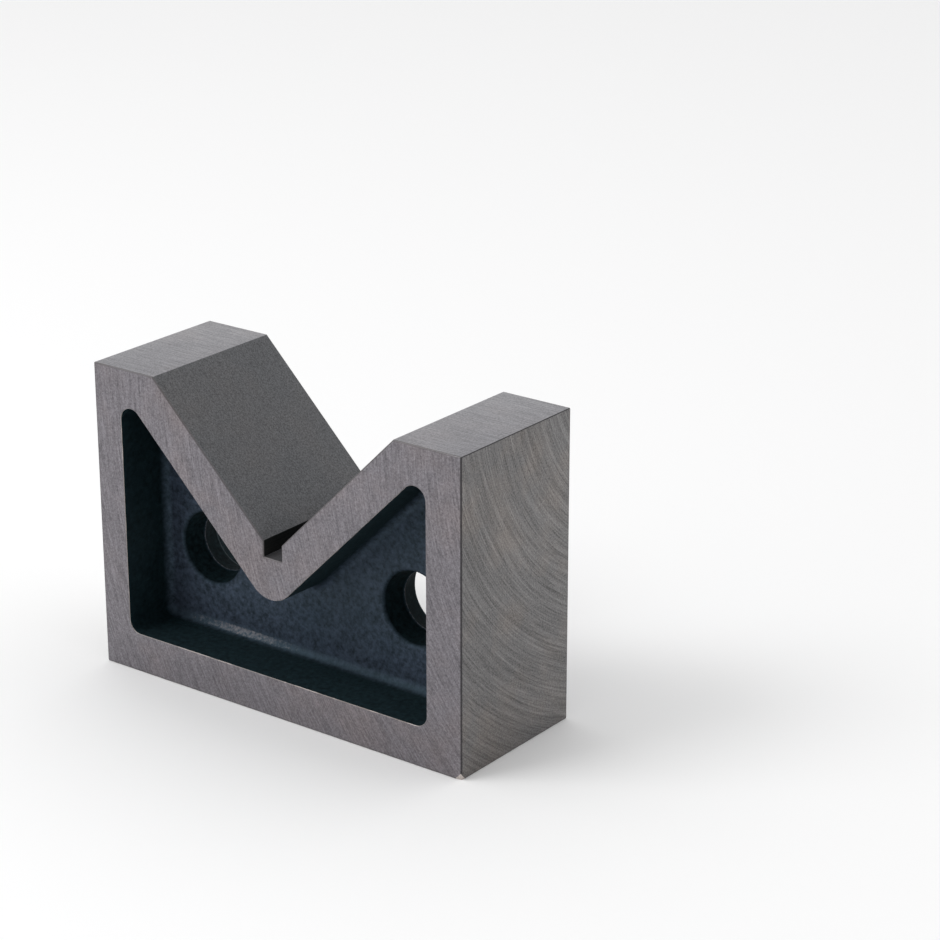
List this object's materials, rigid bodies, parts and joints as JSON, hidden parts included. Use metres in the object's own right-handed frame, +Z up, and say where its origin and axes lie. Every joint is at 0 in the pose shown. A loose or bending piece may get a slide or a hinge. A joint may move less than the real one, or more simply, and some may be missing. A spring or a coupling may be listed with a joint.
{
  "type": "v block",
  "caption": "Ribbed cast-iron block with a right-angled vee across the top, a relief slot at its root, pocketed broad faces and holes through the web.",
  "frame": {"origin": "middle of the base", "axes": "+X along the block's length, +Y through its thickness from the front face to the back face, +Z up out of the vee"},
  "size_m": [0.1524, 0.0572, 0.108],
  "materials": {
    "iron": "outside faces milled and ground to a satin grey, vee ground, cast pockets painted blue-black"
  },
  "bodies": {
    "root": {"v_block": "iron"}
  },
  "joints": []
}
